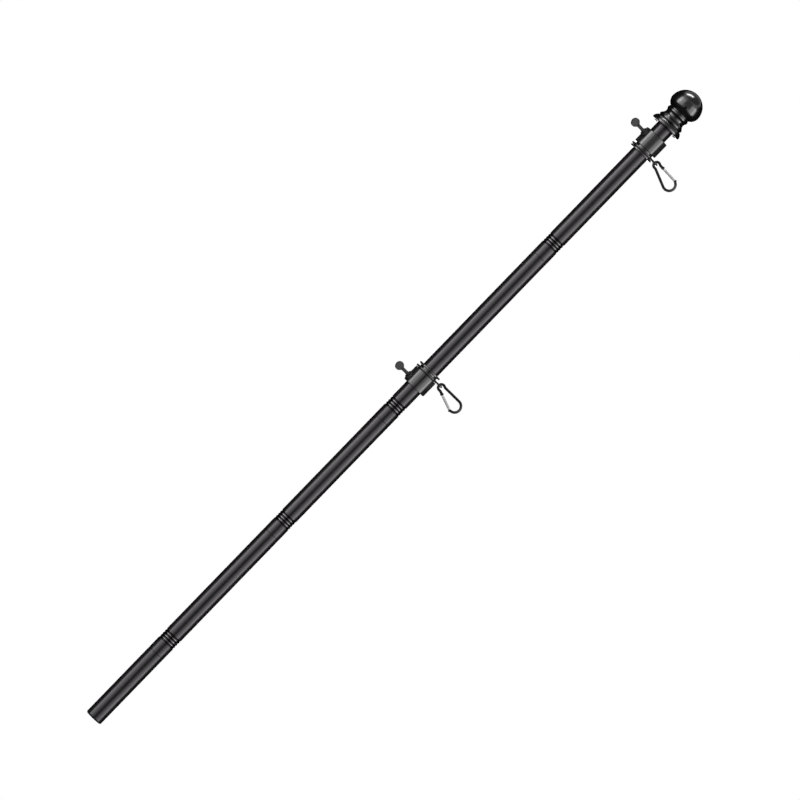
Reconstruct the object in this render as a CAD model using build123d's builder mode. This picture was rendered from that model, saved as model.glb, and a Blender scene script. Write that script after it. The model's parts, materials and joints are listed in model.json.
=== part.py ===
from build123d import *

import math
import os

# A sectional steel flagpole, standing upright with its axis along +Z. The origin is the centre
# of the flat butt end. Two collars slide on the pole. Each carries a swivel ring with a small
# spring clip on its +X side, and a thumb screw on its -X side. All sizes are in millimetres.

# Pole tube
tube_diameter = 25.4
tube_wall = 0.9
base_section_length = 120.0
lower_section_length = 219.0
middle_section_length = 209.5
upper_section_length = 300.0
top_section_length = 237.9
seam_round = 0.4
butt_round = 2.4

# Rolled crimps that hold each spigot in the section above it
crimp_count = 4
crimp_pitch = 4.1
crimp_radius = 1.9
crimp_depth = 0.7
crimp_height = 26.0

# Spigots inside the seams
spigot_wall = 1.2
spigot_hold = 45.0
spigot_reach = 40.0
spigot_lead = 0.6
spigot_clearance = 0.05

# Butt plug
plug_height = 14.0
plug_wall = 1.6
plug_floor = 3.0
plug_clearance = 0.05

# Finial base, from the bell rim at the bottom to the seat of the ball
socket_depth = 18.0
socket_clearance = 0.1
socket_wall = 1.8
bell_radius = 22.95
bell_mouth_radius = 22.2
bell_rim_height = 2.6
bell_shoulder_radius = 22.1
bell_shoulder_height = 5.0
bell_flank_radius = 20.7
bell_flank_height = 7.2
bell_wall = 2.4
bell_cove_depth = 4.6
lower_groove_radius = 18.3
lower_groove_height = 9.0
lower_bead_radius = 19.1
lower_bead_height = 11.5
lower_bead_top_radius = 18.1
lower_bead_top_height = 13.5
cove_radius = 16.0
cove_height = 16.3
waist_radius = 15.3
waist_height = 18.6
neck_flank_radius = 15.8
neck_flank_height = 20.8
neck_radius = 16.9
neck_height = 22.8
upper_bead_radius = 17.15
upper_bead_height = 24.6
seat_groove_radius = 16.4
seat_groove_height = 26.4
finial_base_height = 27.2

# Finial ball
ball_radius = 23.0
ball_shoulder_radius = 14.0
ball_seat_radius = 16.5
ball_wall = 2.4
stem_radius = 9.0
stem_wall = 2.0
stem_length = 7.0
stem_clearance = 0.05

# Sliding collars
upper_collar_drop = 14.6
lower_collar_rise = 60.3
collar_height = 24.0
collar_radius = 17.85
collar_clearance = 0.3
collar_edge = 0.7
neck_length = 5.6
neck_wall = 1.3

# Swivel rings and the retainers that keep them on the collar's neck
ring_radius = 18.9
ring_thickness = 2.9
ring_clearance = 0.1
ring_rest_gap = 0.3
retainer_inset = 0.05
retainer_thickness = 2.9
retainer_seat_step = 0.4
retainer_edge = 0.8
press_clearance = 0.02
eyelet_reach = 21.9
eyelet_hole_radius = 2.5
eyelet_web = 2.0
eyelet_edge = 0.3

# Thumb screws, measured outward from the pole's axis
screw_offset = 16.0
screw_turn = 30.0
screw_radius = 2.5
screw_clearance = 0.06
screw_tip_gap = 0.15
screw_tip_chamfer = 0.5
screw_thread_end = 20.6
screw_neck_radius = 2.3
spade_start = 24.0
spade_reach = 38.6
spade_radius = 6.05
spade_thickness = 3.0
spade_flare = 7.0
spade_root_width = 3.0
spade_rim = 1.2
spade_dish = 0.5
spade_edge = 0.5

# Lobed lock nuts
nut_radius = 6.0
nut_thickness = 3.2
nut_lobes = 12
nut_flute_radius = 0.9
nut_edge = 0.4
nut_seat_clearance = 0.3

# Spring clips, pear shaped, bent from round wire
wire_diameter = 3.7
eye_bend_radius = 4.4
end_bend_radius = 8.5
clip_span = 29.9
arm_angle = 10.0
shoulder_bend_radius = 5.0
clip_play = 0.3
upper_clip_droop = 13.0
lower_clip_droop = 10.4

# Clip gates, measured along the gate's own line from the foot of the eye's centre
knuckle_start = 7.0
knuckle_end = 9.6
knuckle_height = 4.6
knuckle_width = 4.2
nose_start = 31.0
nose_end = 33.2
nose_height = 4.4
nose_width = 4.1
block_edge = 0.5
gate_radius = 1.7
gate_bore_radius = 1.1
gate_gap = 0.25
tongue_thickness = 1.2
tongue_radius = 1.25
tongue_clearance = 0.15
latch_length = 2.0
latch_height = 2.2
rivet_radius = 0.6
rivet_head_radius = 1.0
rivet_head_height = 0.35
rivet_clearance = 0.05

# Values worked out from the sizes above
tube_radius = tube_diameter / 2
tube_bore_radius = tube_radius - tube_wall
first_seam = base_section_length
second_seam = first_seam + lower_section_length
third_seam = second_seam + middle_section_length
fourth_seam = third_seam + upper_section_length
finial_height = fourth_seam + top_section_length
upper_face_height = finial_height - upper_collar_drop - collar_height
lower_face_height = third_seam + lower_collar_rise + collar_height
collar_bore_radius = tube_radius + collar_clearance
neck_outer_radius = collar_bore_radius + neck_wall
retainer_seat_radius = neck_outer_radius - retainer_seat_step
retainer_radius = collar_radius - retainer_inset
eyelet_section_radius = ring_thickness / 2
eyelet_rim_reach = eyelet_reach + eyelet_hole_radius + eyelet_section_radius
wire_radius = wire_diameter / 2
slot_width = tongue_thickness + 2 * tongue_clearance
pivot_reach = knuckle_end + gate_gap + gate_radius
gate_end = nose_start - gate_gap

os.makedirs("parts", exist_ok=True)


# Writes one finished piece as its own STEP file
def save(builder, name):
    builder.part.label = name
    export_step(builder.part, f"parts/{name}.step")


# Centres of the round tool that rolls the crimps above a seam, as radius and height
def crimp_centres(seam):
    first = seam + crimp_height - crimp_pitch * (crimp_count - 1) / 2
    reach = tube_radius + crimp_radius - crimp_depth
    return [(reach, first + crimp_pitch * index) for index in range(crimp_count)]


# The two rims where a section's outer face meets its ends
def outer_rims(section):
    rims = section.edges().filter_by(
        lambda edge: edge.geom_type == GeomType.CIRCLE and abs(edge.radius - tube_radius) < 0.001
    )
    heights = rims.group_by(Axis.Z)
    return heights[0] + heights[-1]


# A plain tube with the crimps rolled into its wall just above its lower end
def make_section(bottom, top):
    crimps = crimp_centres(bottom)
    with BuildPart() as section:
        with BuildSketch(Plane.XZ):
            with Locations((tube_bore_radius, bottom)):
                Rectangle(tube_wall, top - bottom, align=(Align.MIN, Align.MIN))
            with Locations(*crimps):
                Circle(crimp_radius + tube_wall)
            with Locations((tube_radius, bottom)):
                Rectangle(tube_diameter, top - bottom, align=(Align.MIN, Align.MIN), mode=Mode.SUBTRACT)
            with Locations(*crimps):
                Circle(crimp_radius, mode=Mode.SUBTRACT)
        revolve(axis=Axis.Z)
        fillet(outer_rims(section), seam_round)
    return section


# The inner sleeve of one seam, grooved where the crimps press into it
def make_spigot(seam):
    outer = tube_bore_radius - spigot_clearance
    with BuildPart() as spigot:
        with BuildSketch(Plane.XZ):
            with Locations((outer - spigot_wall, seam - spigot_reach)):
                Rectangle(spigot_wall, spigot_reach + spigot_hold, align=(Align.MIN, Align.MIN))
            with Locations(*crimp_centres(seam)):
                Circle(crimp_radius + tube_wall + spigot_clearance, mode=Mode.SUBTRACT)
        revolve(axis=Axis.Z)
        circles = spigot.edges().filter_by(GeomType.CIRCLE).sort_by(SortBy.RADIUS)
        rims = circles.filter_by(lambda edge: abs(edge.radius - outer) < 0.001).group_by(Axis.Z)
        chamfer(rims[0] + rims[-1], spigot_lead)
    return spigot


# Base section, its butt end rolled inward round the plug
with BuildPart() as base_section:
    with BuildSketch(Plane.XZ):
        with BuildLine():
            mouth = tube_radius - butt_round
            Polyline(
                (mouth, 0),
                (mouth, tube_wall),
            )
            CenterArc((mouth, butt_round), butt_round - tube_wall, -90, 90)
            Polyline(
                (tube_bore_radius, butt_round),
                (tube_bore_radius, first_seam),
                (tube_radius, first_seam),
                (tube_radius, butt_round),
            )
            CenterArc((mouth, butt_round), butt_round, -90, 90)
        make_face()
    revolve(axis=Axis.Z)
    fillet(outer_rims(base_section)[-1], seam_round)
save(base_section, "base_section")

# Plug that closes the butt end, seated in the rolled edge
with BuildPart() as base_plug:
    with BuildSketch(Plane.XZ):
        with BuildLine():
            mouth = tube_radius - butt_round
            plug_radius = tube_bore_radius - plug_clearance
            seat_height = tube_wall + plug_clearance
            Polyline(
                (mouth, seat_height),
                (mouth - plug_clearance, seat_height),
                (mouth - plug_clearance, 0),
                (0, 0),
                (0, plug_floor),
                (plug_radius - plug_wall, plug_floor),
                (plug_radius - plug_wall, plug_height),
                (plug_radius, plug_height),
                (plug_radius, butt_round),
            )
            CenterArc((mouth, butt_round), butt_round - seat_height, -90, 90)
        make_face()
    revolve(axis=Axis.Z)
save(base_plug, "base_plug")

# Tube sections above the base, and the spigot inside each seam
tube_sections = {
    "lower": (first_seam, second_seam),
    "middle": (second_seam, third_seam),
    "upper": (third_seam, fourth_seam),
    "top": (fourth_seam, finial_height + socket_depth),
}
for name, (bottom, top) in tube_sections.items():
    save(make_section(bottom, top), f"{name}_section")
    save(make_spigot(bottom), f"{name}_spigot")

# Finial base: a bell rim, two beads and a waist over a socket for the tube
finial_plane = Plane(origin=(0, 0, finial_height), x_dir=(1, 0, 0), z_dir=(0, -1, 0))
with BuildPart() as finial_base:
    with BuildSketch(finial_plane):
        with BuildLine():
            socket_radius = tube_radius + socket_clearance
            stem_hole_radius = stem_radius + stem_clearance
            core_radius = socket_radius + socket_wall
            ThreePointArc(
                (bell_mouth_radius, 0),
                (bell_radius, bell_rim_height),
                (bell_shoulder_radius, bell_shoulder_height),
            )
            ThreePointArc(
                (bell_shoulder_radius, bell_shoulder_height),
                (bell_flank_radius, bell_flank_height),
                (lower_groove_radius, lower_groove_height),
            )
            ThreePointArc(
                (lower_groove_radius, lower_groove_height),
                (lower_bead_radius, lower_bead_height),
                (lower_bead_top_radius, lower_bead_top_height),
            )
            ThreePointArc(
                (lower_bead_top_radius, lower_bead_top_height),
                (cove_radius, cove_height),
                (waist_radius, waist_height),
            )
            ThreePointArc(
                (waist_radius, waist_height),
                (neck_flank_radius, neck_flank_height),
                (neck_radius, neck_height),
            )
            ThreePointArc(
                (neck_radius, neck_height),
                (upper_bead_radius, upper_bead_height),
                (seat_groove_radius, seat_groove_height),
            )
            Polyline(
                (seat_groove_radius, seat_groove_height),
                (seat_groove_radius, finial_base_height),
                (stem_hole_radius, finial_base_height),
                (stem_hole_radius, socket_depth),
                (socket_radius, socket_depth),
                (socket_radius, 0),
                (core_radius, 0),
                (core_radius, bell_cove_depth),
                (bell_mouth_radius - bell_wall, bell_cove_depth),
                (bell_mouth_radius - bell_wall, 0),
                (bell_mouth_radius, 0),
            )
        make_face()
    revolve(axis=Axis.Z)
save(finial_base, "finial_base")

# Finial ball: a hollow moulding with a stem that plugs into the base
ball_seat_height = finial_height + finial_base_height
ball_plane = Plane(origin=(0, 0, ball_seat_height), x_dir=(1, 0, 0), z_dir=(0, -1, 0))
ball_drop = ball_radius - ball_seat_radius
ball_rise = math.sqrt(ball_shoulder_radius**2 - (ball_shoulder_radius - ball_drop) ** 2)
with BuildPart() as finial_ball:
    with BuildSketch(ball_plane):
        with BuildLine():
            shoulder_centre = (ball_radius - ball_shoulder_radius, ball_rise)
            seat_angle = math.degrees(math.asin(ball_rise / ball_shoulder_radius))
            inner_shoulder = ball_shoulder_radius - ball_wall
            floor_angle = math.degrees(math.asin((ball_rise - ball_wall) / inner_shoulder))
            floor_radius = shoulder_centre[0] + inner_shoulder * math.cos(math.radians(floor_angle))
            CenterArc(shoulder_centre, ball_shoulder_radius, -seat_angle, seat_angle)
            CenterArc((0, ball_rise), ball_radius, 0, 90)
            Line((0, ball_rise + ball_radius), (0, ball_rise + ball_radius - ball_wall))
            CenterArc((0, ball_rise), ball_radius - ball_wall, 0, 90)
            CenterArc(shoulder_centre, inner_shoulder, -floor_angle, floor_angle)
            Polyline(
                (floor_radius, ball_wall),
                (stem_radius - stem_wall, ball_wall),
                (stem_radius - stem_wall, -stem_length),
                (stem_radius, -stem_length),
                (stem_radius, 0),
                (ball_seat_radius, 0),
            )
        make_face()
    revolve(axis=Axis.Z)
save(finial_ball, "finial_ball")


# Plane of a collar's profile: x is the radius, y runs from the collar's face towards its ring
def profile_plane(face_height, ring_side):
    return Plane(origin=(0, 0, face_height), x_dir=(1, 0, 0), z_dir=(0, -ring_side, 0))


# Plane of a thumb screw: x runs outward along the screw, z faces the front
def screw_plane(face_height, ring_side):
    turn = math.radians(screw_turn)
    outward = (-math.cos(turn), -math.sin(turn), 0)
    facing = (math.sin(turn), -math.cos(turn), 0)
    height = face_height - ring_side * screw_offset
    return Plane(origin=(0, 0, height), x_dir=outward, z_dir=facing)


# Plane across the x axis of another plane, at a distance along that axis
def cross_plane(plane, reach):
    return Plane(origin=plane.from_local_coords((reach, 0, 0)), z_dir=plane.x_dir)


# Flat that the lock nut seats on, as wide as the collar's curve allows
def nut_seat_reach():
    return math.sqrt(collar_radius**2 - (nut_radius + nut_seat_clearance) ** 2)


# Collar with a neck for the ring, a step for the retainer and a tapped hole for the screw
def make_collar(face_height, ring_side):
    plane = screw_plane(face_height, ring_side)
    with BuildPart() as collar:
        with BuildSketch(profile_plane(face_height, ring_side)):
            with BuildLine():
                Polyline(
                    (collar_bore_radius, -collar_height),
                    (collar_radius - collar_edge, -collar_height),
                    (collar_radius, collar_edge - collar_height),
                    (collar_radius, -collar_edge),
                    (collar_radius - collar_edge, 0),
                    (neck_outer_radius, 0),
                    (neck_outer_radius, neck_length),
                    (retainer_seat_radius, neck_length),
                    (retainer_seat_radius, neck_length + retainer_thickness),
                    (collar_bore_radius, neck_length + retainer_thickness),
                    close=True,
                )
            make_face()
        revolve(axis=Axis.Z)
        with BuildSketch(cross_plane(plane, nut_seat_reach())):
            Circle(nut_radius + nut_seat_clearance)
        extrude(amount=collar_radius, mode=Mode.SUBTRACT)
        with BuildSketch(cross_plane(plane, 0)):
            Circle(screw_radius + screw_clearance)
        extrude(amount=collar_radius, mode=Mode.SUBTRACT)
    return collar


# Height of a ring's middle: it rests on what is below it on the upright pole
def ring_height(face_height, ring_side):
    if ring_side > 0:
        return face_height + ring_rest_gap + ring_thickness / 2
    return face_height - neck_length + ring_rest_gap + ring_thickness / 2


# Swivel ring with a rounded rim and an eyelet for the clip
def make_ring(height):
    inner = neck_outer_radius + ring_clearance
    half = ring_thickness / 2
    with BuildPart() as ring:
        with BuildSketch(Plane.XY.offset(height - eyelet_web / 2)):
            with Locations((eyelet_reach, 0)):
                Circle(eyelet_hole_radius + half)
            Rectangle(eyelet_reach, 2 * (eyelet_hole_radius + half), align=(Align.MIN, Align.CENTER))
        extrude(amount=eyelet_web)
        with BuildSketch(Plane(origin=(eyelet_reach, 0, height), x_dir=(1, 0, 0), z_dir=(0, -1, 0))):
            with Locations((eyelet_hole_radius + half, 0)):
                Circle(half)
        revolve(axis=Axis((eyelet_reach, 0, height), (0, 0, 1)))
        with BuildSketch(Plane(origin=(0, 0, height), x_dir=(1, 0, 0), z_dir=(0, -1, 0))):
            with Locations(((inner + ring_radius - half) / 2, 0)):
                Rectangle(ring_radius - half - inner, ring_thickness)
            with Locations((ring_radius - half, 0)):
                Circle(half)
        revolve(axis=Axis.Z)
        with BuildSketch(Plane.XY.offset(height - half)):
            Circle(inner)
        extrude(amount=ring_thickness, mode=Mode.SUBTRACT)
        throat = eyelet_web / 2 - eyelet_edge
        mouth_radius = eyelet_hole_radius + half - throat
        with BuildSketch(Plane(origin=(eyelet_reach, 0, height), x_dir=(1, 0, 0), z_dir=(0, -1, 0))):
            with BuildLine():
                Polyline(
                    (0, -half),
                    (mouth_radius, -half),
                    (eyelet_hole_radius, -throat),
                    (eyelet_hole_radius, throat),
                    (mouth_radius, half),
                    (0, half),
                    close=True,
                )
            make_face()
        revolve(axis=Axis((eyelet_reach, 0, height), (0, 0, 1)), mode=Mode.SUBTRACT)
    return ring


# Retainer pressed on the end of the neck
def make_retainer(face_height, ring_side):
    with BuildPart() as retainer:
        with BuildSketch(profile_plane(face_height, ring_side)):
            with Locations((retainer_seat_radius + press_clearance, neck_length)):
                Rectangle(
                    retainer_radius - retainer_seat_radius - press_clearance,
                    retainer_thickness,
                    align=(Align.MIN, Align.MIN),
                )
        revolve(axis=Axis.Z)
        rims = retainer.edges().filter_by(
            lambda edge: edge.geom_type == GeomType.CIRCLE and abs(edge.radius - retainer_radius) < 0.001
        )
        fillet(rims, retainer_edge)
    return retainer


# Thumb screw with a round dished spade on a slim neck
def make_thumb_screw(face_height, ring_side):
    plane = screw_plane(face_height, ring_side)
    axis = Axis(plane.origin, plane.x_dir)
    tip = tube_radius + screw_tip_gap
    with BuildPart() as thumb_screw:
        with BuildSketch(plane.offset(-spade_thickness / 2)) as spade:
            with Locations((spade_start, 0)):
                Rectangle(
                    spade_reach - spade_start,
                    spade_root_width,
                    align=(Align.MIN, Align.CENTER),
                )
            with Locations((spade_reach, 0)):
                Circle(spade_radius)
            fillet(spade.vertices().group_by(Axis.X)[1], spade_flare)
        extrude(amount=spade_thickness)
        sides = thumb_screw.faces().filter_by(Axis(plane.origin, plane.z_dir))
        chamfer(sides.edges(), spade_edge)
        dish = spade_radius - spade_rim
        with BuildSketch(plane.offset(spade_thickness / 2 - spade_dish)):
            with Locations((spade_reach, 0)):
                Circle(dish)
        extrude(amount=spade_dish, mode=Mode.SUBTRACT)
        with BuildSketch(plane.offset(-spade_thickness / 2)):
            with Locations((spade_reach, 0)):
                Circle(dish)
        extrude(amount=spade_dish, mode=Mode.SUBTRACT)
        with BuildSketch(plane):
            with BuildLine():
                Polyline(
                    (tip, 0),
                    (tip, screw_radius - screw_tip_chamfer),
                    (tip + screw_tip_chamfer, screw_radius),
                    (screw_thread_end, screw_radius),
                    (screw_thread_end + screw_radius - screw_neck_radius, screw_neck_radius),
                    (spade_reach - spade_radius, screw_neck_radius),
                    (spade_reach - spade_radius, 0),
                    close=True,
                )
            make_face()
        revolve(axis=axis)
    return thumb_screw


# Lobed nut that locks the screw against the collar
def make_lock_nut(face_height, ring_side):
    plane = screw_plane(face_height, ring_side)
    with BuildPart() as lock_nut:
        with BuildSketch(cross_plane(plane, nut_seat_reach())):
            Circle(nut_radius)
            with PolarLocations(nut_radius, nut_lobes):
                Circle(nut_flute_radius, mode=Mode.SUBTRACT)
        extrude(amount=nut_thickness)
        faces = lock_nut.faces().sort_by(Axis(plane.origin, plane.x_dir))
        chamfer(faces[0].edges() + faces[-1].edges(), nut_edge)
        with BuildSketch(cross_plane(plane, nut_seat_reach())):
            Circle(screw_radius + screw_clearance)
        extrude(amount=nut_thickness, mode=Mode.SUBTRACT)
    return lock_nut


# Plane of a clip at rest: x runs from its eye to its broad end, y towards its gate
def clip_plane(height, ring_side, droop):
    tilt = math.radians(droop)
    along = Vector(math.cos(tilt), 0, -math.sin(tilt))
    rim = Vector(eyelet_rim_reach, 0, height)
    play = eye_bend_radius - wire_radius - eyelet_section_radius - clip_play
    return Plane(origin=rim + along * play, x_dir=along, z_dir=(0, ring_side, 0))


# Distance from the eye's centre to the straight line of each arm
def arm_offset():
    return end_bend_radius - clip_span * math.sin(math.radians(arm_angle))


# Plane of a clip's gate: x runs along the gate, y outward from the loop
def gate_plane(plane):
    lean = math.radians(arm_angle)
    foot = (-arm_offset() * math.sin(lean), arm_offset() * math.cos(lean), 0)
    along = plane.x_dir * math.cos(lean) + plane.y_dir * math.sin(lean)
    return Plane(origin=plane.from_local_coords(foot), x_dir=along, z_dir=plane.z_dir)


# Point in the clip's plane, along an arm and out from its line, on the gate's side or the other
def arm_point(side, along, out=0.0):
    lean = math.radians(arm_angle)
    reach = arm_offset() + out
    x = along * math.cos(lean) - reach * math.sin(lean)
    y = along * math.sin(lean) + reach * math.cos(lean)
    return (x, side * y)


# Shoulder where the eye's bend turns into an arm: its ends and middle
def shoulder_points(side):
    reach = eye_bend_radius + shoulder_bend_radius
    along = math.sqrt(reach**2 - (arm_offset() + shoulder_bend_radius) ** 2)
    centre = Vector(*arm_point(side, along, shoulder_bend_radius))
    arm_end = Vector(*arm_point(side, along))
    eye_end = centre * (eye_bend_radius / reach)
    middle = centre + ((arm_end - centre) + (eye_end - centre)).normalized() * shoulder_bend_radius
    return [(point.X, point.Y) for point in (arm_end, middle, eye_end)]


# Where the broad end's bend stops inside the nose
def nose_point():
    lean = math.radians(arm_angle)
    past_tangent = (nose_start + nose_end) / 2 - clip_span * math.cos(lean)
    angle = math.pi / 2 + lean - past_tangent / end_bend_radius
    return (clip_span + end_bend_radius * math.cos(angle), end_bend_radius * math.sin(angle))


# Bent wire of a clip, with the gate's knuckle, its tongue and the nose
def make_clip(plane):
    gate = gate_plane(plane)
    gate_arm, gate_bend, gate_eye = shoulder_points(1)
    back_arm, back_bend, back_eye = shoulder_points(-1)
    tangent_reach = clip_span * math.cos(math.radians(arm_angle))
    with BuildPart() as clip:
        with BuildLine(plane):
            Line(arm_point(1, knuckle_start), gate_arm)
            ThreePointArc(gate_arm, gate_bend, gate_eye)
            ThreePointArc(gate_eye, (-eye_bend_radius, 0), back_eye)
            ThreePointArc(back_eye, back_bend, back_arm)
            Line(back_arm, arm_point(-1, tangent_reach))
            ThreePointArc(
                arm_point(-1, tangent_reach),
                (clip_span + end_bend_radius, 0),
                nose_point(),
            )
        with BuildSketch(cross_plane(gate, knuckle_start)):
            Circle(wire_radius)
        sweep()
        knuckle_length = knuckle_end - knuckle_start
        nose_length = nose_end - nose_start
        with BuildSketch(gate.offset(-knuckle_width / 2)):
            with Locations(((knuckle_start + knuckle_end) / 2, 0)):
                RectangleRounded(knuckle_length, knuckle_height, block_edge)
        extrude(amount=knuckle_width)
        with BuildSketch(gate.offset(-nose_width / 2)):
            with Locations(((nose_start + nose_end) / 2, 0)):
                RectangleRounded(nose_length, nose_height, block_edge)
        extrude(amount=nose_width)
        with BuildSketch(gate.offset(-tongue_thickness / 2)):
            with Locations((knuckle_end - block_edge, 0)):
                Rectangle(
                    pivot_reach - knuckle_end + block_edge,
                    2 * tongue_radius,
                    align=(Align.MIN, Align.CENTER),
                )
            with Locations((pivot_reach, 0)):
                Circle(tongue_radius)
            with Locations((nose_start - latch_length, 0)):
                Rectangle(latch_length + block_edge, latch_height, align=(Align.MIN, Align.CENTER))
        extrude(amount=tongue_thickness)
        with BuildSketch(gate.offset(-knuckle_width / 2)):
            with Locations((pivot_reach, 0)):
                Circle(rivet_radius + press_clearance)
        extrude(amount=knuckle_width, mode=Mode.SUBTRACT)
    return clip


# Tubular gate, slotted over the tongue at its hinge and over the latch at its free end
def make_gate(plane):
    gate_line = gate_plane(plane)
    hinge_start = pivot_reach - gate_radius
    hinge_slot = gate_radius + tongue_radius + tongue_clearance
    latch_slot = latch_length + tongue_clearance - gate_gap
    with BuildPart() as gate:
        with BuildSketch(cross_plane(gate_line, hinge_start)):
            Circle(gate_radius)
        extrude(amount=gate_end - hinge_start)
        with BuildSketch(gate_line):
            with Locations((pivot_reach, 0)):
                Circle(gate_radius)
                Rectangle(gate_end - pivot_reach, 2 * gate_radius, align=(Align.MIN, Align.CENTER))
        extrude(amount=gate_radius, both=True, mode=Mode.INTERSECT)
        with BuildSketch(cross_plane(gate_line, pivot_reach)):
            Circle(gate_bore_radius)
        extrude(amount=gate_end - pivot_reach, mode=Mode.SUBTRACT)
        with BuildSketch(gate_line):
            with Locations((hinge_start, 0)):
                Rectangle(hinge_slot, 2 * gate_radius, align=(Align.MIN, Align.CENTER))
            with Locations((gate_end, 0)):
                Rectangle(latch_slot, 2 * gate_radius, align=(Align.MAX, Align.CENTER))
        extrude(amount=slot_width / 2, both=True, mode=Mode.SUBTRACT)
        with BuildSketch(gate_line):
            with Locations((pivot_reach, 0)):
                Circle(rivet_radius + rivet_clearance)
        extrude(amount=gate_radius, both=True, mode=Mode.SUBTRACT)
    return gate


# Rivet that the gate turns on
def make_rivet(plane):
    gate = gate_plane(plane)
    shank = gate_radius + press_clearance
    with BuildPart() as rivet:
        with BuildSketch(gate.offset(-shank)):
            with Locations((pivot_reach, 0)):
                Circle(rivet_radius)
        extrude(amount=2 * shank)
        with BuildSketch(gate.offset(shank)):
            with Locations((pivot_reach, 0)):
                Circle(rivet_head_radius)
        extrude(amount=rivet_head_height)
        with BuildSketch(gate.offset(-shank - rivet_head_height)):
            with Locations((pivot_reach, 0)):
                Circle(rivet_head_radius)
        extrude(amount=rivet_head_height)
    return rivet


# The upper ring hangs below its collar, the lower one stands above its collar
hardware_sets = {
    "upper": (upper_face_height, -1, upper_clip_droop),
    "lower": (lower_face_height, 1, lower_clip_droop),
}
for name, (face_height, ring_side, droop) in hardware_sets.items():
    height = ring_height(face_height, ring_side)
    plane = clip_plane(height, ring_side, droop)
    save(make_collar(face_height, ring_side), f"{name}_collar")
    save(make_ring(height), f"{name}_ring")
    save(make_retainer(face_height, ring_side), f"{name}_retainer")
    save(make_thumb_screw(face_height, ring_side), f"{name}_thumb_screw")
    save(make_lock_nut(face_height, ring_side), f"{name}_lock_nut")
    save(make_clip(plane), f"{name}_clip")
    save(make_gate(plane), f"{name}_gate")
    save(make_rivet(plane), f"{name}_gate_rivet")
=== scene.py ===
import json
import math

import bmesh
import bpy
from mathutils import Matrix, Vector


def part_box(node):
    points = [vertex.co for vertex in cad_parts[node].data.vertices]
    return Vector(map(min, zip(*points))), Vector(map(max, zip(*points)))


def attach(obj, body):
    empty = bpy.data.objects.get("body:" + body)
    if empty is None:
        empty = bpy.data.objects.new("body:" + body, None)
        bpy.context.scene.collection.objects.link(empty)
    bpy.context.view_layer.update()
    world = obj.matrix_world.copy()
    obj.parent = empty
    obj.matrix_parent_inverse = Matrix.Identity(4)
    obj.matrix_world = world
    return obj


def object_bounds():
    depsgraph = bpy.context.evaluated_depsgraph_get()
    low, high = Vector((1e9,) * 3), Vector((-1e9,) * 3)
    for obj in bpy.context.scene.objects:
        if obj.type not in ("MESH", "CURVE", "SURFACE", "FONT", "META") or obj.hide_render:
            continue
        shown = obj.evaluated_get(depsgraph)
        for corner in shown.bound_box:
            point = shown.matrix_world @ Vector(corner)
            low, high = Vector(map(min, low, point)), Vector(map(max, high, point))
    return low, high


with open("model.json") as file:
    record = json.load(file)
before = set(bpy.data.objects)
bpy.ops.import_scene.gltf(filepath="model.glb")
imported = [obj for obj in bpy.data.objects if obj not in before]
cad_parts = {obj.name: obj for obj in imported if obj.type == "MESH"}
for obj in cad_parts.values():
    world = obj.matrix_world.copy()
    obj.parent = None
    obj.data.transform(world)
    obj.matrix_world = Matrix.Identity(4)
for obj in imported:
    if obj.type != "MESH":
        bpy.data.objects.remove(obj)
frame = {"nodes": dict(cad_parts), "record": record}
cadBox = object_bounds()
low, high = (Vector(corner) for corner in cadBox)
poleHeight = high.z
print("frame loaded, pole", round(poleHeight, 3), "m")


noiseSpan = (0.3, 0.7)      # where nearly all of a noise texture's values lie
noiseRoughness = 0.55


def newMaterial(name):
    material = bpy.data.materials.new(name)
    material.use_nodes = True
    nodes = material.node_tree.nodes
    nodes.clear()
    output = nodes.new("ShaderNodeOutputMaterial")
    shader = nodes.new("ShaderNodeBsdfPrincipled")
    material.node_tree.links.new(shader.outputs["BSDF"], output.inputs["Surface"])
    return material, nodes, material.node_tree.links, shader


def objectCoords(nodes, links, stretch=(1.0, 1.0, 1.0)):
    coords = nodes.new("ShaderNodeTexCoord")
    mapping = nodes.new("ShaderNodeMapping")
    mapping.inputs["Scale"].default_value = stretch
    links.new(coords.outputs["Object"], mapping.inputs["Vector"])
    return mapping.outputs["Vector"]


def noise(nodes, links, vector, scale, detail=3.0):
    texture = nodes.new("ShaderNodeTexNoise")
    texture.inputs["Scale"].default_value = scale
    texture.inputs["Detail"].default_value = detail
    texture.inputs["Roughness"].default_value = noiseRoughness
    links.new(vector, texture.inputs["Vector"])
    return texture.outputs["Fac"]


def mixColors(nodes, links, factor):
    mix = nodes.new("ShaderNodeMix")
    mix.data_type = "RGBA"
    links.new(factor, mix.inputs["Factor"])
    return mix


def tint(nodes, links, factor, dark, light):
    mix = mixColors(nodes, links, factor)
    mix.inputs["A"].default_value = (*dark, 1.0)
    mix.inputs["B"].default_value = (*light, 1.0)
    return mix.outputs["Result"]


def spreadRoughness(nodes, links, shader, pattern, finish):
    ramp = nodes.new("ShaderNodeMapRange")
    ramp.inputs["From Min"].default_value, ramp.inputs["From Max"].default_value = noiseSpan
    ramp.inputs["To Min"].default_value, ramp.inputs["To Max"].default_value = finish["roughness"]
    links.new(pattern, ramp.inputs["Value"])
    links.new(ramp.outputs["Result"], shader.inputs["Roughness"])


# Colour and roughness of a finish that both follow one pattern
def coat(nodes, links, shader, pattern, finish):
    color = tint(nodes, links, pattern, finish["dark"], finish["light"])
    links.new(color, shader.inputs["Base Color"])
    spreadRoughness(nodes, links, shader, pattern, finish)


def emboss(nodes, links, shader, height, relief):
    node = nodes.new("ShaderNodeBump")
    node.inputs["Strength"].default_value = relief["strength"]
    node.inputs["Distance"].default_value = relief["depth"]
    links.new(height, node.inputs["Height"])
    links.new(node.outputs["Normal"], shader.inputs["Normal"])


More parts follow.
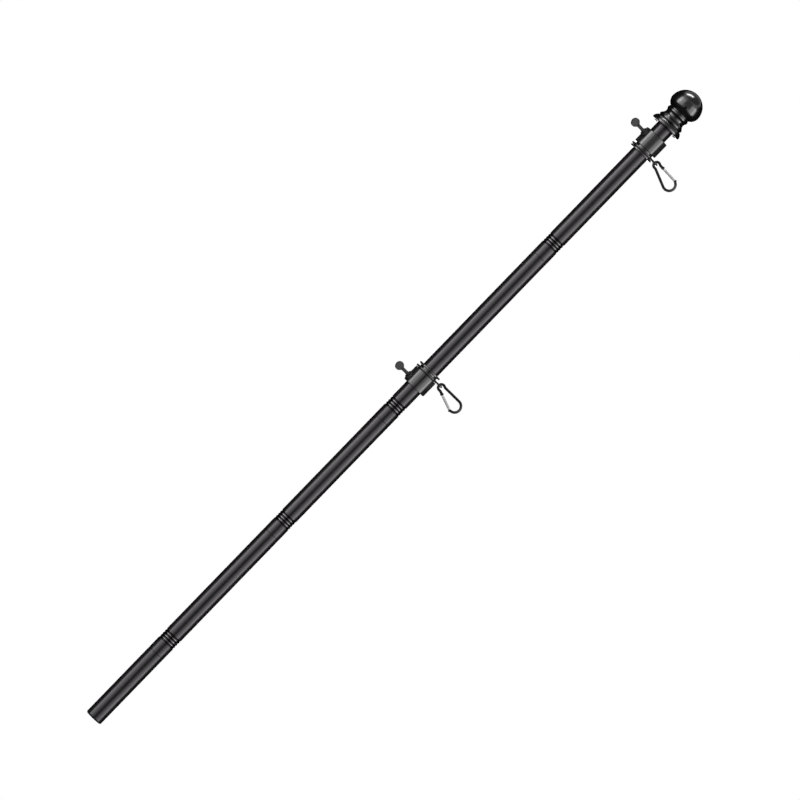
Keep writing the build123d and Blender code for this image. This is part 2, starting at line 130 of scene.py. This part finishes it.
def calculate(tree, operation, first, second):
    node = tree.nodes.new("ShaderNodeMath")
    node.operation = operation
    for socket, value in zip(node.inputs, (first, second)):
        if isinstance(value, float):
            socket.default_value = value
        else:
            tree.links.new(value, socket)
    return node.outputs["Value"]


poleEnamel = {
    "dark": (0.0042, 0.0040, 0.0043),
    "light": (0.0064, 0.0060, 0.0065),
    "roughness": (0.25, 0.30),
    "cast": (1.0, 0.95, 1.0, 1.0),      # faint violet cast of its reflections
    "drawn": (1.0, 1.0, 0.06),          # streaks run along the tube
    "streakScale": 260.0,
    "cloudScale": 35.0,
    "peelScale": 900.0,                 # orange peel of the baked enamel
    "peel": {"strength": 0.35, "depth": 0.00002},
}
crimpBand = {
    "above": 0.026,         # middle of the crimps, up from each seam
    "reach": 0.0076,        # half the height of the crimped band
    "pitch": 0.0041,
    "land": 0.0013,         # height of the ring left between two crimps
    "soft": 0.0001,         # half the width of each edge
    # painted shade: dull, nearly black metal in the grooves between the rings
    "paintedGrooveShade": (0.015, 0.0145, 0.015),
    "paintedRingHighlight": (0.105, 0.101, 0.105),    # painted highlight: brighter metal on the rings between crimps
}


# 1 below a limit and 0 above it, with a soft edge
def shareBelow(tree, value, limit):
    share = tree.nodes.new("ShaderNodeMapRange")
    share.inputs["From Min"].default_value = limit - crimpBand["soft"]
    share.inputs["From Max"].default_value = limit + crimpBand["soft"]
    share.inputs["To Min"].default_value = 1.0
    share.inputs["To Max"].default_value = 0.0
    tree.links.new(value, share.inputs["Value"])
    return share.outputs["Result"]


# Share of the crimped band, and share of its rings, at a point of the pole. The rings get painted
# highlight, the grooves between them painted shade
def crimpShares(tree, vector):
    height = tree.nodes.new("ShaderNodeSeparateXYZ")
    tree.links.new(vector, height.inputs["Vector"])
    away = None
    for name in ("lower", "middle", "upper", "top"):
        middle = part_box(name + "_section")[0][2] + crimpBand["above"]
        offset = calculate(tree, "SUBTRACT", height.outputs["Z"], middle)
        distance = calculate(tree, "ABSOLUTE", offset, 0.0)
        away = distance if away is None else calculate(tree, "MINIMUM", away, distance)
    fromRing = calculate(tree, "PINGPONG", away, crimpBand["pitch"] / 2)
    band = shareBelow(tree, away, crimpBand["reach"])
    ring = shareBelow(tree, fromRing, crimpBand["land"] / 2)
    return band, ring


def makePoleEnamel():
    material, nodes, links, shader = newMaterial("poleEnamel")
    shader.inputs["Specular Tint"].default_value = poleEnamel["cast"]
    even = objectCoords(nodes, links)
    drawn = objectCoords(nodes, links, poleEnamel["drawn"])
    streaks = noise(nodes, links, drawn, poleEnamel["streakScale"])
    cloud = noise(nodes, links, even, poleEnamel["cloudScale"])
    peel = noise(nodes, links, even, poleEnamel["peelScale"], detail=1.0)
    band, ring = crimpShares(material.node_tree, even)
    enamel = tint(nodes, links, streaks, poleEnamel["dark"], poleEnamel["light"])
    # Painted shade in the crimp grooves and painted highlight on the rings between them
    paintedCrimpLight = tint(nodes, links, ring, crimpBand["paintedGrooveShade"], crimpBand["paintedRingHighlight"])
    dressed = mixColors(nodes, links, band)
    links.new(enamel, dressed.inputs["A"])
    links.new(paintedCrimpLight, dressed.inputs["B"])
    links.new(dressed.outputs["Result"], shader.inputs["Base Color"])
    links.new(band, shader.inputs["Metallic"])
    spreadRoughness(nodes, links, shader, cloud, poleEnamel)
    emboss(nodes, links, shader, peel, poleEnamel["peel"])
    return material


finialPlastic = {
    "dark": (0.0022, 0.0022, 0.0025),
    "light": (0.0034, 0.0034, 0.0038),
    "roughness": (0.18, 0.23),
    "gloss": 0.85,          # specular level of the polished plastic
    "cloudScale": 60.0,
    "rippleScale": 120.0,   # sink marks of the moulding
    "ripple": {"strength": 0.2, "depth": 0.00006},
}


def makeFinialPlastic():
    material, nodes, links, shader = newMaterial("finialPlastic")
    shader.inputs["Specular IOR Level"].default_value = finialPlastic["gloss"]
    even = objectCoords(nodes, links)
    cloud = noise(nodes, links, even, finialPlastic["cloudScale"])
    ripple = noise(nodes, links, even, finialPlastic["rippleScale"], detail=1.0)
    coat(nodes, links, shader, cloud, finialPlastic)
    emboss(nodes, links, shader, ripple, finialPlastic["ripple"])
    return material


collarAnodised = {
    "dark": (0.012, 0.012, 0.0128),
    "light": (0.016, 0.016, 0.0170),
    "roughness": (0.15, 0.19),
    "gloss": 0.68,              # specular level of the sealed surface
    "cloudScale": 90.0,
    "turned": (0.02, 0.02, 1.0),
    "turningScale": 2600.0,     # fine turning lines round the collar
    "turning": {"strength": 0.25, "depth": 0.00001},
}


def makeCollarAnodised():
    material, nodes, links, shader = newMaterial("collarAnodised")
    shader.inputs["Specular IOR Level"].default_value = collarAnodised["gloss"]
    even = objectCoords(nodes, links)
    turned = objectCoords(nodes, links, collarAnodised["turned"])
    cloud = noise(nodes, links, even, collarAnodised["cloudScale"])
    lines = noise(nodes, links, turned, collarAnodised["turningScale"], detail=2.0)
    coat(nodes, links, shader, cloud, collarAnodised)
    emboss(nodes, links, shader, lines, collarAnodised["turning"])
    return material


screwCasting = {
    "dark": (0.008, 0.0076, 0.008),
    "light": (0.013, 0.0125, 0.013),
    "roughness": (0.50, 0.60),
    "gloss": 0.4,           # specular level of the dull blackening
    "cloudScale": 240.0,
    "grainScale": 2200.0,
    "grain": {"strength": 0.4, "depth": 0.00003},
}


def makeScrewCasting():
    material, nodes, links, shader = newMaterial("screwCasting")
    shader.inputs["Specular IOR Level"].default_value = screwCasting["gloss"]
    even = objectCoords(nodes, links)
    cloud = noise(nodes, links, even, screwCasting["cloudScale"])
    grain = noise(nodes, links, even, screwCasting["grainScale"], detail=2.0)
    coat(nodes, links, shader, cloud, screwCasting)
    emboss(nodes, links, shader, grain, screwCasting["grain"])
    return material


clipEnamel = {
    "dark": (0.0035, 0.0035, 0.0038),
    "light": (0.006, 0.006, 0.0064),
    "roughness": (0.22, 0.32),
    "cloudScale": 300.0,
    "peelScale": 1500.0,
    "peel": {"strength": 0.3, "depth": 0.00002},
}


def makeClipEnamel():
    material, nodes, links, shader = newMaterial("clipEnamel")
    even = objectCoords(nodes, links)
    cloud = noise(nodes, links, even, clipEnamel["cloudScale"])
    peel = noise(nodes, links, even, clipEnamel["peelScale"], detail=1.0)
    coat(nodes, links, shader, cloud, clipEnamel)
    emboss(nodes, links, shader, peel, clipEnamel["peel"])
    return material


gatePlating = {
    "dark": (0.74, 0.74, 0.75),
    "light": (0.80, 0.80, 0.81),
    "roughness": (0.30, 0.32),
    "metal": 0.75,              # the rest is the dull bloom of the plating
    "drawn": (0.3, 1.0, 1.0),   # faint scratches run along the gate
    "scratchScale": 300.0,
    "scratch": {"strength": 0.05, "depth": 0.000002},
}


def makeGatePlating():
    material, nodes, links, shader = newMaterial("gatePlating")
    shader.inputs["Metallic"].default_value = gatePlating["metal"]
    drawn = objectCoords(nodes, links, gatePlating["drawn"])
    scratches = noise(nodes, links, drawn, gatePlating["scratchScale"], detail=0.0)
    coat(nodes, links, shader, scratches, gatePlating)
    emboss(nodes, links, shader, scratches, gatePlating["scratch"])
    return material


plugPlastic = {
    "dark": (0.012, 0.012, 0.0125),
    "light": (0.020, 0.020, 0.021),
    "roughness": (0.50, 0.60),
    "grainScale": 1200.0,
    "grain": {"strength": 0.3, "depth": 0.00004},
}


def makePlugPlastic():
    material, nodes, links, shader = newMaterial("plugPlastic")
    grain = noise(nodes, links, objectCoords(nodes, links), plugPlastic["grainScale"], detail=2.0)
    coat(nodes, links, shader, grain, plugPlastic)
    emboss(nodes, links, shader, grain, plugPlastic["grain"])
    return material


finishes = {
    "pole_black": makePoleEnamel(),
    "finial_black": makeFinialPlastic(),
    "collar_black": makeCollarAnodised(),
    "screw_black": makeScrewCasting(),
    "clip_black": makeClipEnamel(),
    "gate_steel": makeGatePlating(),
    "plug_black": makePlugPlastic(),
}
for part in frame["record"]["subparts"]:
    node = frame["nodes"][part["node"]]
    node.data.materials.clear()
    node.data.materials.append(finishes[part["material_slot"]])
print("finishes set on", len(frame["nodes"]), "pieces")


# Node tree that ends in one finished shape; sizes names its inputs and their kinds
def newTree(name, sizes):
    tree = bpy.data.node_groups.new(name, "GeometryNodeTree")
    tree.interface.new_socket("Geometry", in_out="OUTPUT", socket_type="NodeSocketGeometry")
    for label, kind in sizes.items():
        tree.interface.new_socket(label, in_out="INPUT", socket_type="NodeSocket" + kind)
    tree.interface.new_socket("Finish", in_out="INPUT", socket_type="NodeSocketMaterial")
    inputs = tree.nodes.new("NodeGroupInput")
    realize = tree.nodes.new("GeometryNodeRealizeInstances")
    covered = tree.nodes.new("GeometryNodeSetMaterial")
    output = tree.nodes.new("NodeGroupOutput")
    tree.links.new(realize.outputs["Geometry"], covered.inputs["Geometry"])
    tree.links.new(inputs.outputs["Finish"], covered.inputs["Material"])
    tree.links.new(covered.outputs["Geometry"], output.inputs["Geometry"])
    return tree, inputs, realize.inputs["Geometry"]


screwThread = {
    "start": 0.0204,        # outward from the pole's axis, where the shank steps down to the neck
    "radius": 0.00226,      # middle of the ridge, just inside the neck
    "pitch": 0.0008,
    "turns": 4.5,
    "depth": 0.0003,
    "steps": 40,            # points in one turn
    "corners": 4,           # of the ridge's section
}


# Ridge of a screw thread: a helix along Z that starts at the origin
def makeThreadTree():
    tree, inputs, shape = newTree(
        "threadRidge", {"Radius": "Float", "Pitch": "Float", "Turns": "Float", "Depth": "Float"}
    )
    helix = tree.nodes.new("GeometryNodeCurveSpiral")
    helix.inputs["Resolution"].default_value = screwThread["steps"]
    tree.links.new(inputs.outputs["Turns"], helix.inputs["Rotations"])
    tree.links.new(inputs.outputs["Radius"], helix.inputs["Start Radius"])
    tree.links.new(inputs.outputs["Radius"], helix.inputs["End Radius"])
    rise = calculate(tree, "MULTIPLY", inputs.outputs["Turns"], inputs.outputs["Pitch"])
    tree.links.new(rise, helix.inputs["Height"])
    upright = tree.nodes.new("GeometryNodeSetCurveNormal")
    upright.mode = "Z_UP"
    tree.links.new(helix.outputs["Curve"], upright.inputs["Curve"])
    crest = tree.nodes.new("GeometryNodeCurvePrimitiveCircle")
    crest.inputs["Resolution"].default_value = screwThread["corners"]
    tree.links.new(inputs.outputs["Depth"], crest.inputs["Radius"])
    ridge = tree.nodes.new("GeometryNodeCurveToMesh")
    ridge.inputs["Fill Caps"].default_value = True
    tree.links.new(upright.outputs["Curve"], ridge.inputs["Curve"])
    tree.links.new(crest.outputs["Curve"], ridge.inputs["Profile Curve"])
    tree.links.new(ridge.outputs["Mesh"], shape)
    return tree


rivetHead = {
    "radius": 0.00088,
    "rise": 0.00034,
    "segments": 28,
    "rings": 14,
}


# Domed heads on both ends of a rivet that lies along Y, centred on the origin
def makeRivetTree():
    tree, inputs, shape = newTree(
        "rivetDomes", {"Radius": "Float", "Rise": "Float", "Reach": "Float"}
    )
    ends = tree.nodes.new("GeometryNodeMeshLine")
    ends.inputs["Count"].default_value = 2
    for socket, factor in (("Start Location", -1.0), ("Offset", 2.0)):
        vector = tree.nodes.new("ShaderNodeCombineXYZ")
        aside = calculate(tree, "MULTIPLY", inputs.outputs["Reach"], factor)
        tree.links.new(aside, vector.inputs["Y"])
        tree.links.new(vector.outputs["Vector"], ends.inputs[socket])
    ball = tree.nodes.new("GeometryNodeMeshUVSphere")
    ball.inputs["Segments"].default_value = rivetHead["segments"]
    ball.inputs["Rings"].default_value = rivetHead["rings"]
    ball.inputs["Radius"].default_value = 1.0
    size = tree.nodes.new("ShaderNodeCombineXYZ")
    for axis, label in (("X", "Radius"), ("Y", "Rise"), ("Z", "Radius")):
        tree.links.new(inputs.outputs[label], size.inputs[axis])
    dome = tree.nodes.new("GeometryNodeTransform")
    tree.links.new(ball.outputs["Mesh"], dome.inputs["Geometry"])
    tree.links.new(size.outputs["Vector"], dome.inputs["Scale"])
    smooth = tree.nodes.new("GeometryNodeSetShadeSmooth")
    tree.links.new(dome.outputs["Geometry"], smooth.inputs["Geometry"])
    both = tree.nodes.new("GeometryNodeInstanceOnPoints")
    tree.links.new(ends.outputs["Mesh"], both.inputs["Points"])
    tree.links.new(smooth.outputs["Geometry"], both.inputs["Instance"])
    tree.links.new(both.outputs["Instances"], shape)
    return tree


# Turns a tree's result into a plain mesh, laid in its place
def growPiece(name, tree, values, place):
    piece = bpy.data.objects.new(name, bpy.data.meshes.new(name))
    bpy.context.scene.collection.objects.link(piece)
    modifier = piece.modifiers.new(tree.name, "NODES")
    modifier.node_group = tree
    for socket in tree.interface.items_tree:
        if socket.in_out == "INPUT":
            modifier[socket.identifier] = values[socket.name]
    evaluated = piece.evaluated_get(bpy.context.evaluated_depsgraph_get())
    mesh = bpy.data.meshes.new_from_object(evaluated)
    piece.modifiers.clear()
    piece.data = mesh
    mesh.transform(place)
    shape = bmesh.new()
    shape.from_mesh(mesh)
    bmesh.ops.recalc_face_normals(shape, faces=shape.faces)
    shape.to_mesh(mesh)
    shape.free()
    return piece


def makeThreads():
    tree = makeThreadTree()
    values = {
        "Radius": screwThread["radius"],
        "Pitch": screwThread["pitch"],
        "Turns": screwThread["turns"],
        "Depth": screwThread["depth"],
        "Finish": finishes["screw_black"],
    }
    for joint in frame["record"]["behaviour"]["joints"]:
        if not joint["name"].endswith("_screw_turn"):
            continue
        outward = Vector(joint["axis"]).normalized()
        start = outward * screwThread["start"] + Vector((0.0, 0.0, joint["pos_m"][2]))
        place = Matrix.Translation(start) @ outward.to_track_quat("Z", "Y").to_matrix().to_4x4()
        piece = growPiece(joint["child"] + "_thread", tree, values, place)
        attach(piece, joint["child"])


def makeRivetDomes():
    tree = makeRivetTree()
    for name in ("upper", "lower"):
        least, most = (Vector(corner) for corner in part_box(name + "_gate_rivet"))
        values = {
            "Radius": rivetHead["radius"],
            "Rise": rivetHead["rise"],
            "Reach": (most.y - least.y) / 2,
            "Finish": finishes["gate_steel"],
        }
        place = Matrix.Translation((least + most) / 2)
        piece = growPiece(name + "_rivet_domes", tree, values, place)
        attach(piece, name + "_snap_clip")


makeThreads()
makeRivetDomes()
print("threads and rivet domes made")


studio = {
    "floorRadius": 8.0,
    "floorSides": 64,
    "floorColor": (0.9, 0.9, 0.9, 1.0),
    "floorRoughness": 0.9,
    "floorDrop": 1.0,         # the pole is held above the floor, as in a bracket
    "floorGlow": 0.97,        # share of the floor that shows plain white
    "ambient": 0.38,          # even light on matt surfaces
}


# 1 for rays from the camera and for those that gloss and glass send out
def seenByEye(tree):
    path = tree.nodes.new("ShaderNodeLightPath")
    seen = path.outputs["Is Camera Ray"]
    for kind in ("Is Glossy Ray", "Is Transmission Ray"):
        seen = calculate(tree, "MAXIMUM", seen, path.outputs[kind])
    return seen


def makeStudioWorld():
    world = bpy.data.worlds.new("studioWorld")
    bpy.context.scene.world = world
    world.use_nodes = True
    nodes = world.node_tree.nodes
    links = world.node_tree.links
    nodes.clear()
    output = nodes.new("ShaderNodeOutputWorld")
    mix = nodes.new("ShaderNodeMixShader")
    ambient = nodes.new("ShaderNodeBackground")
    ambient.inputs["Strength"].default_value = studio["ambient"]
    backdrop = nodes.new("ShaderNodeBackground")
    backdrop.inputs["Color"].default_value = (1.0, 1.0, 1.0, 1.0)
    links.new(seenByEye(world.node_tree), mix.inputs["Fac"])
    links.new(ambient.outputs["Background"], mix.inputs[1])
    links.new(backdrop.outputs["Background"], mix.inputs[2])
    links.new(mix.outputs["Shader"], output.inputs["Surface"])


def makeFloor():
    mesh = bpy.data.meshes.new("floor")
    shape = bmesh.new()
    bmesh.ops.create_circle(
        shape, cap_ends=True, segments=studio["floorSides"], radius=studio["floorRadius"]
    )
    bmesh.ops.translate(shape, vec=(0.0, 0.0, low.z - studio["floorDrop"]), verts=shape.verts)
    shape.to_mesh(mesh)
    shape.free()
    floor = bpy.data.objects.new("floor", mesh)
    bpy.context.scene.collection.objects.link(floor)
    material, nodes, links, shader = newMaterial("floorPaper")
    shader.inputs["Base Color"].default_value = studio["floorColor"]
    shader.inputs["Roughness"].default_value = studio["floorRoughness"]
    glow = nodes.new("ShaderNodeEmission")
    tree = material.node_tree
    share = calculate(tree, "MULTIPLY", seenByEye(tree), studio["floorGlow"])
    mix = nodes.new("ShaderNodeMixShader")
    links.new(share, mix.inputs["Fac"])
    links.new(shader.outputs["BSDF"], mix.inputs[1])
    links.new(glow.outputs["Emission"], mix.inputs[2])
    links.new(mix.outputs["Shader"], nodes["Material Output"].inputs["Surface"])
    mesh.materials.append(material)


# Cards that only reflections see. Black ones stand to the left and right of the pole, behind the
# ball and round the camera, and a nearly black one with a faint white glow lies below. Grey ones
# are black cards that glow white, above the camera, for the brow of the ball, and overhead. Angles
# run from the camera's side, positive to its right.
standingCards = {
    "leftCard": {"start": -164.0, "end": -78.0, "reach": 1.3},
    "rightCard": {"start": 84.0, "end": 164.0, "reach": 1.3},
    "crownCard": {"start": 164.0, "end": 196.0, "reach": 1.3, "bottom": 1.16},
    "cameraCard": {"start": -7.0, "end": 15.0, "reach": 2.4},
    "browCard": {
        "start": -25.0, "end": 31.0, "reach": 2.3, "bottom": 1.14, "top": 3.6, "glow": 0.35,
    },
}
lyingCards = {
    "floorCard": {"height": -0.95, "radius": 6.0, "glow": 0.03},
    "topCard": {"height": 2.6, "radius": 1.25, "glow": 0.2},
}
cardSteps = 16
cardBottom = low.z - 0.9
cardTop = high.z + 1.2


def addCard(name, points, faces, glow):
    material, nodes, links, shader = newMaterial(name + "Felt")
    shader.inputs["Base Color"].default_value = (0.0, 0.0, 0.0, 1.0)
    shader.inputs["Roughness"].default_value = 1.0
    shader.inputs["Specular IOR Level"].default_value = 0.0
    shader.inputs["Emission Color"].default_value = (1.0, 1.0, 1.0, 1.0)
    shader.inputs["Emission Strength"].default_value = glow
    mesh = bpy.data.meshes.new(name)
    mesh.from_pydata(points, [], faces)
    mesh.materials.append(material)
    card = bpy.data.objects.new(name, mesh)
    bpy.context.scene.collection.objects.link(card)
    card.visible_camera = False
    card.visible_diffuse = False
    card.visible_shadow = False


def aroundPole(angle, reach, height):
    turn = math.radians(angle)
    return Vector((math.sin(turn) * reach, -math.cos(turn) * reach, height))


def makeCards():
    for name, card in standingCards.items():
        bottom = card.get("bottom", cardBottom)
        top = card.get("top", cardTop)
        points = []
        for step in range(cardSteps + 1):
            angle = card["start"] + (card["end"] - card["start"]) * step / cardSteps
            points.append(aroundPole(angle, card["reach"], bottom))
            points.append(aroundPole(angle, card["reach"], top))
        faces = [(2 * step, 2 * step + 1, 2 * step + 3, 2 * step + 2) for step in range(cardSteps)]
        addCard(name, points, faces, card.get("glow", 0.0))
    for name, card in lyingCards.items():
        angles = [360.0 * step / cardSteps for step in range(cardSteps)]
        points = [aroundPole(angle, card["radius"], card["height"]) for angle in angles]
        addCard(name, points, [list(range(cardSteps))], card["glow"])


# Tall soft boxes to the left and right of the camera, dimmer towards it, and a low one behind the
# pole. Inner is the share of its strength that a box keeps at its edge near the camera.
softBoxes = {
    "left": {"angle": -48.0, "reach": 4.5, "width": 3.66, "power": 385.0, "inner": 0.2},
    "right": {"angle": 54.0, "reach": 4.5, "width": 3.66, "power": 385.0, "inner": 0.2},
    "rear": {"angle": 180.0, "reach": 4.5, "width": 2.6, "power": 35.0, "inner": 1.0, "top": 1.15},
}
boxBottom = -0.9
boxTop = 4.0
boxFalloff = 3.0        # how fast a side box dims towards the camera
# Small boxes, placed from the top of the pole: one over the ball, and one far to the left for the
# glints on the left side of the finial
overheadBox = {"place": (-0.46, 0.04, 1.25), "size": (0.30, 0.78), "power": 11.5}
glintBox = {"place": (-3.65, -2.28, 0.52), "size": (0.55, 0.55), "power": 8.0}


# Dims a soft box from its far edge to its edge near the camera
def gradeBox(light, side, inner):
    light.use_nodes = True
    tree = light.node_tree
    surface = tree.nodes.new("ShaderNodeNewGeometry")
    across = tree.nodes.new("ShaderNodeSeparateXYZ")
    tree.links.new(surface.outputs["Parametric"], across.inputs["Vector"])
    outward = across.outputs["X"]
    if side < 0:
        outward = calculate(tree, "SUBTRACT", 1.0, outward)
    grade = tree.nodes.new("ShaderNodeMapRange")
    grade.inputs["To Min"].default_value = inner
    tree.links.new(calculate(tree, "POWER", outward, boxFalloff), grade.inputs["Value"])
    tree.links.new(grade.outputs["Result"], tree.nodes["Emission"].inputs["Strength"])


def addSoftBox(name, size, power, place, aim):
    light = bpy.data.lights.new(name, "AREA")
    light.shape = "RECTANGLE"
    light.size, light.size_y = size
    light.energy = power
    lamp = bpy.data.objects.new(name, light)
    lamp.visible_camera = False
    turn = (aim - place).to_track_quat("-Z", "Y").to_matrix().to_4x4()
    lamp.matrix_world = Matrix.Translation(place) @ turn
    bpy.context.scene.collection.objects.link(lamp)
    return light


def makeSoftBoxes():
    for name, box in softBoxes.items():
        top = box.get("top", boxTop)
        middle = (boxBottom + top) / 2
        place = aroundPole(box["angle"], box["reach"], middle)
        size = (box["width"], top - boxBottom)
        aim = Vector((0.0, 0.0, middle))
        light = addSoftBox(name + "Box", size, box["power"], place, aim)
        gradeBox(light, box["angle"], box["inner"])
    poleTop = Vector((0.0, 0.0, poleHeight))
    for name, box in (("overheadBox", overheadBox), ("glintBox", glintBox)):
        addSoftBox(name, box["size"], box["power"], poleTop + Vector(box["place"]), poleTop)


makeStudioWorld()
makeFloor()
makeCards()
makeSoftBoxes()
print("studio built")


cameraView = {
    "lens": 250.0,
    "sensor": 36.0,
    "poleSlope": 45.9,      # degrees that the pole rises from level in the picture
    "span": 1.0583,         # metres across the picture at the pole
    "aim": 0.509,           # share of the pole's height at the middle of the picture
    "aside": -0.00137,      # the middle of the picture lies this far from the pole's axis
}


def makeCamera():
    distance = cameraView["span"] * cameraView["lens"] / cameraView["sensor"]
    data = bpy.data.cameras.new("camera")
    data.lens = cameraView["lens"]
    data.sensor_width = cameraView["sensor"]
    data.clip_end = 100.0
    slope = math.radians(cameraView["poleSlope"])
    right = Vector((math.sin(slope), 0.0, math.cos(slope)))
    up = Vector((-math.cos(slope), 0.0, math.sin(slope)))
    back = right.cross(up)
    turn = Matrix((right, up, back)).transposed().to_4x4()
    middle = Vector((cameraView["aside"], 0.0, poleHeight * cameraView["aim"]))
    place = Matrix.Translation(middle + back * distance)
    camera = bpy.data.objects.new("camera", data)
    camera.matrix_world = place @ turn
    bpy.context.scene.collection.objects.link(camera)
    bpy.context.scene.camera = camera


makeCamera()
bpy.context.scene.view_settings.view_transform = "Standard"
print("camera set")
